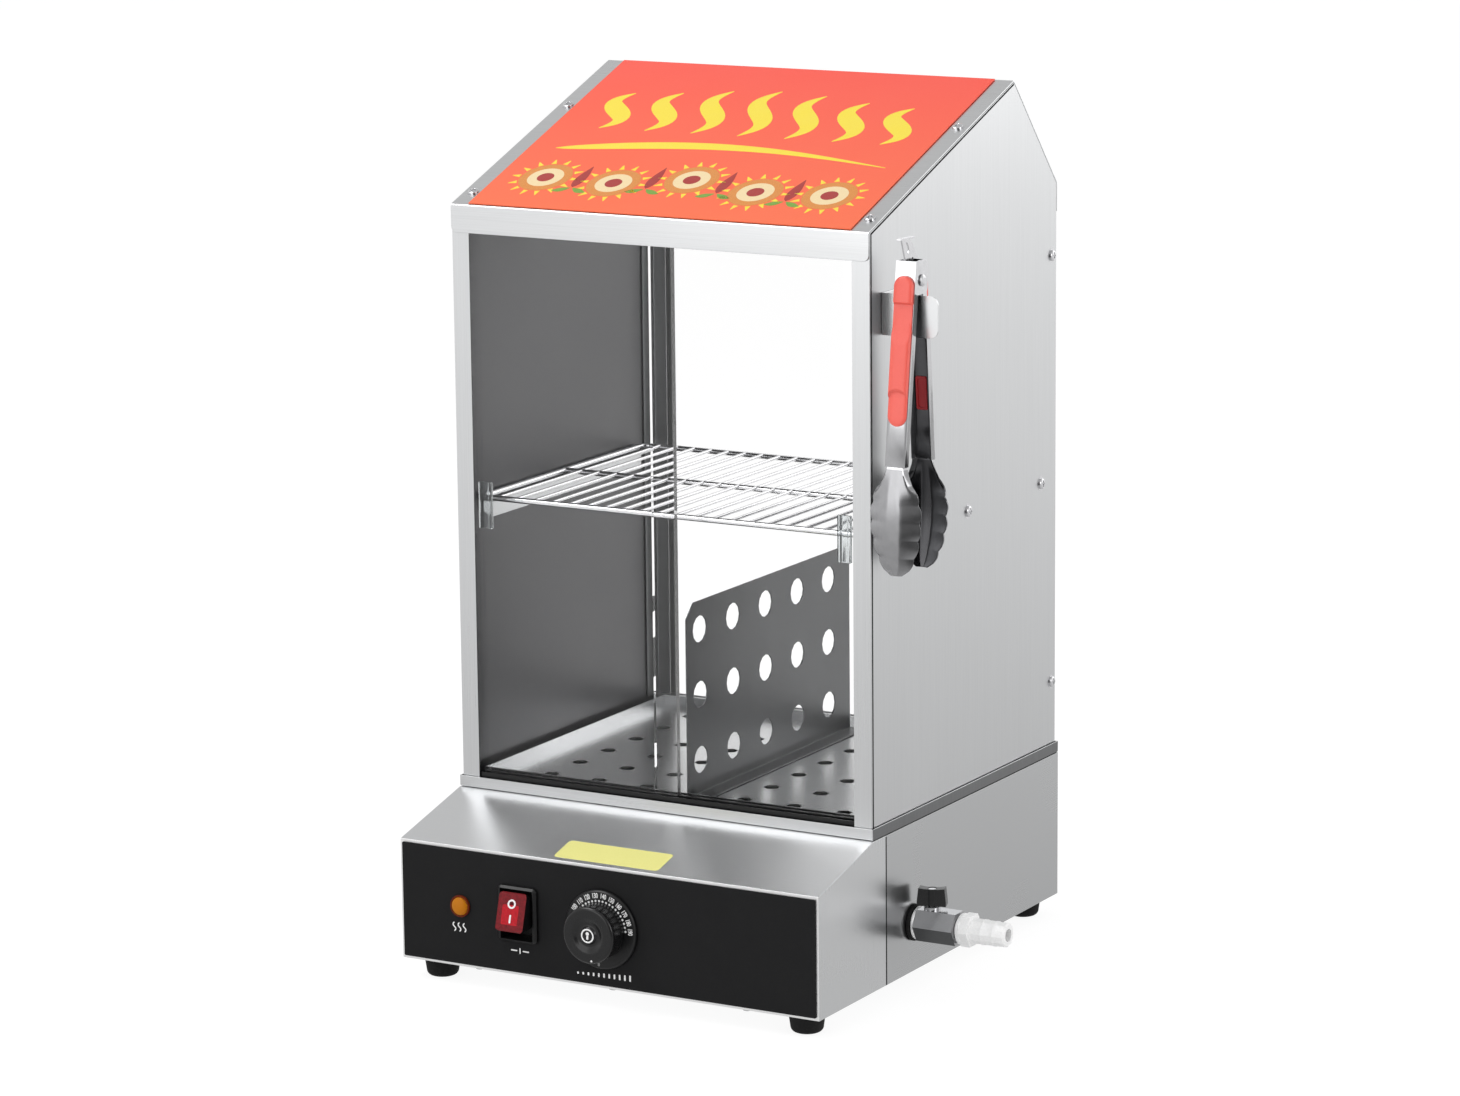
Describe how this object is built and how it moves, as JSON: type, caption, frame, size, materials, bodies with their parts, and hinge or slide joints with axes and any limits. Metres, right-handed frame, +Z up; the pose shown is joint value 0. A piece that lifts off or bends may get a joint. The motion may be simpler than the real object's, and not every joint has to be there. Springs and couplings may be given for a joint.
{
  "type": "hot dog steamer",
  "caption": "Countertop steamer cabinet with a pitched roof, two sliding glass doors, a water-tank base with dial and switch, a side drain valve and hung tongs.",
  "frame": {"origin": "middle of the bounding box in plan, on the surface that the four feet stand on", "axes": "+Z up, -Y towards the user in front of the doors and dial, +X to the side with the drain valve and tongs"},
  "size_m": [0.3902, 0.389, 0.5932],
  "materials": {
    "brushed_steel": "fine brushed stainless steel",
    "bright_steel": "polished stainless steel",
    "dark_steel": "stainless steel seen in shade",
    "sign_film": "printed orange-red film",
    "clear_glass": "clear tempered glass",
    "clear_plastic": "clear moulded plastic",
    "black_plastic": "moulded black plastic",
    "black_panel": "matt black printed panel",
    "amber_lens": "amber lens",
    "red_rocker": "translucent red plastic",
    "black_rubber": "black rubber",
    "white_nylon": "white nylon",
    "coral_rubber": "soft coral-red plastic",
    "ceramic": "ceramic",
    "copper": "copper"
  },
  "bodies": {
    "cabinet": {"base_rim": "brushed_steel", "base_shell": "brushed_steel", "bottom_plate": "brushed_steel", "cable_gland": "black_plastic", "control_housing": "brushed_steel", "control_panel": "black_panel", "door_track_bottom": "black_plastic", "door_track_top": "dark_steel", "foot_front_left": "black_rubber", "foot_front_right": "black_rubber", "foot_rear_left": "black_rubber", "foot_rear_right": "black_rubber", "heater_flange": "brushed_steel", "heating_element": "dark_steel", "hose_nipple": "white_nylon", "lamp_bezel": "amber_lens", "lamp_lens": "amber_lens", "partition_plate": "dark_steel", "perforated_tray": "brushed_steel", "rear_channel_left": "dark_steel", "rear_channel_right": "dark_steel", "rear_glass": "clear_glass", "rear_head_rail": "brushed_steel", "rear_sill": "brushed_steel", "roof_panel": "brushed_steel", "roof_sign": "sign_film", "shelf_support_left": "brushed_steel", "shelf_support_right": "brushed_steel", "side_panel_left": "brushed_steel", "side_panel_right": "brushed_steel", "switch_frame": "black_plastic", "tap_gasket": "black_rubber", "tap_tank_nut": "brushed_steel", "tap_washer": "white_nylon", "terminal_block": "ceramic", "thermostat_body": "ceramic", "thermostat_bulb": "copper", "tong_holder": "bright_steel", "valve_body": "bright_steel", "water_tank": "brushed_steel", "wire_shelf": "bright_steel"},
    "left_door": {"door_glass_left": "clear_glass", "door_pull_left": "clear_plastic"},
    "right_door": {"door_glass_right": "clear_glass", "door_pull_right": "clear_plastic"},
    "thermostat_knob": {"knob_skirt": "black_plastic", "knob_grip": "black_plastic", "thermostat_shaft": "brushed_steel"},
    "power_rocker": {"switch_rocker": "red_rocker"},
    "drain_handle": {"valve_lever": "black_plastic", "valve_stem": "brushed_steel", "valve_ball": "bright_steel"},
    "tongs": {"tong_arm_front": "bright_steel", "tong_grip_front": "coral_rubber", "tong_rivet": "brushed_steel", "tong_spring": "brushed_steel"},
    "tong_rear": {"tong_arm_rear": "bright_steel", "tong_grip_rear": "coral_rubber"},
    "tong_lock": {"tong_pull_tab": "bright_steel"}
  },
  "joints": [
    {"name": "left_door_slide", "type": "slide", "parent": "cabinet", "child": "left_door", "axis": [1, 0, 0], "range_m": [0, 0.142]},
    {"name": "right_door_slide", "type": "slide", "parent": "cabinet", "child": "right_door", "axis": [-1, 0, 0], "range_m": [0, 0.142]},
    {"name": "knob_turn", "type": "hinge", "parent": "cabinet", "child": "thermostat_knob", "pos_m": [-0.0366, -0.17505, 0.055], "axis": [0, 1, 0], "range_deg": [0, 240]},
    {"name": "rocker_tilt", "type": "hinge", "parent": "cabinet", "child": "power_rocker", "pos_m": [-0.1014, -0.17255, 0.0567], "axis": [1, 0, 0], "range_deg": [0, 31.4]},
    {"name": "valve_turn", "type": "hinge", "parent": "cabinet", "child": "drain_handle", "pos_m": [0.1388, -0.04295, 0.0478], "axis": [0, 0, 1], "range_deg": [-18, 72]},
    {"name": "tongs_lift", "type": "slide", "parent": "cabinet", "child": "tongs", "axis": [0, 0, 1], "range_m": [0, 0.19]},
    {"name": "tong_open", "type": "hinge", "parent": "tongs", "child": "tong_rear", "pos_m": [0.1438, -0.07945, 0.485], "axis": [1, 0, 0], "range_deg": [-10, 0], "stiffness_Nm_per_rad": 0.3, "springref_deg": 10},
    {"name": "tong_pull", "type": "slide", "parent": "tongs", "child": "tong_lock", "axis": [0, 0.0262, 0.9997], "range_m": [0, 0.004]}
  ]
}
